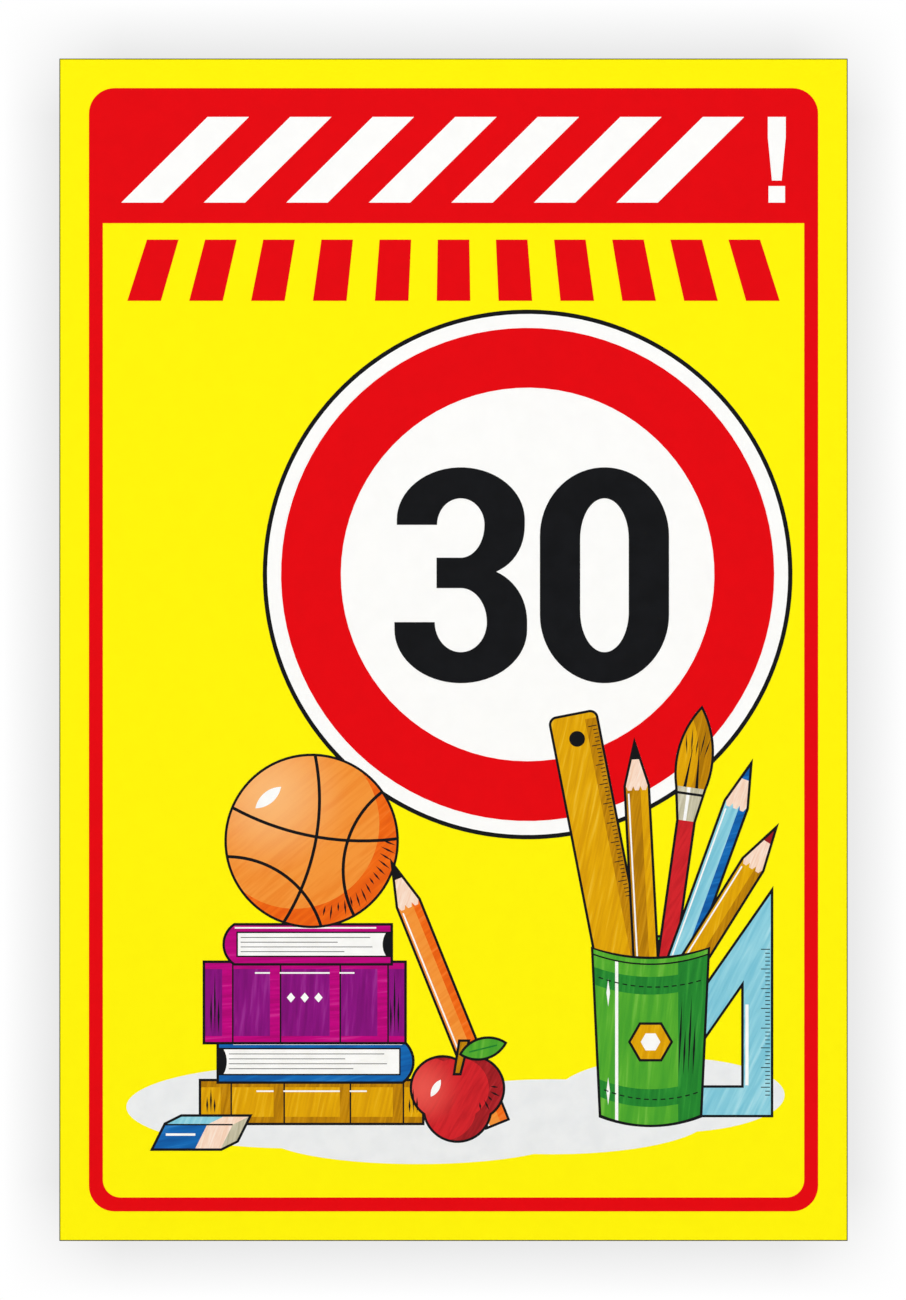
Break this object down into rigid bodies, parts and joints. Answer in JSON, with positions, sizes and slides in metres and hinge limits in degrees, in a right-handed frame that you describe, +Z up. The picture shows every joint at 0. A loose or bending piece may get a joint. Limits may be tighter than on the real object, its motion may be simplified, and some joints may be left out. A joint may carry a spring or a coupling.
{
  "type": "school crossing sign",
  "caption": "Flat printed warning panel for a school road: red frame and title block, crossing bars, speed roundel and a picture of school things, fixed by its flat back.",
  "frame": {"origin": "middle of the panel's flat back", "axes": "+Y straight out of the back, so the printed face looks along -Y; +Z up the sign; +X to the right of someone who reads it"},
  "size_m": [0.4, 0.0034, 0.6],
  "materials": {
    "print_red": "red print, satin",
    "print_black": "black print, satin",
    "print_white": "white print, satin",
    "print_pale_grey": "pale grey print, satin",
    "panel": "white rigid foam PVC board, sawn edges",
    "print_beige": "beige print, satin",
    "print_blue": "blue print, satin",
    "print_bright_red": "bright red print, satin",
    "print_brown": "golden brown print, satin",
    "print_deep_orange": "deep orange print, satin",
    "print_gold": "golden yellow print, satin",
    "print_green": "green print, satin",
    "print_stone": "stone grey print, satin",
    "print_light_blue": "light blue print, satin",
    "print_light_green": "light green print, satin",
    "print_magenta": "magenta print, satin",
    "print_orange": "orange print, satin",
    "print_purple": "purple print, satin",
    "print_dark_red": "dark red print, satin",
    "print_yellow": "yellow printed ground, satin"
  },
  "bodies": {
    "root": {"crossing_bars": "print_red", "edge_line": "print_black", "exclamation_mark": "print_white", "ground_patch": "print_pale_grey", "panel": "panel", "picture_beige": "print_beige", "picture_black": "print_black", "picture_blue": "print_blue", "picture_bright_red": "print_bright_red", "picture_brown": "print_brown", "picture_deep_orange": "print_deep_orange", "picture_gold": "print_gold", "picture_green": "print_green", "picture_grey": "print_stone", "picture_light_blue": "print_light_blue", "picture_light_green": "print_light_green", "picture_magenta": "print_magenta", "picture_orange": "print_orange", "picture_purple": "print_purple", "picture_red": "print_dark_red", "picture_white": "print_white", "red_print": "print_red", "roundel_black": "print_black", "roundel_disc": "print_white", "title_marks": "print_white", "yellow_ground": "print_yellow"}
  },
  "joints": []
}
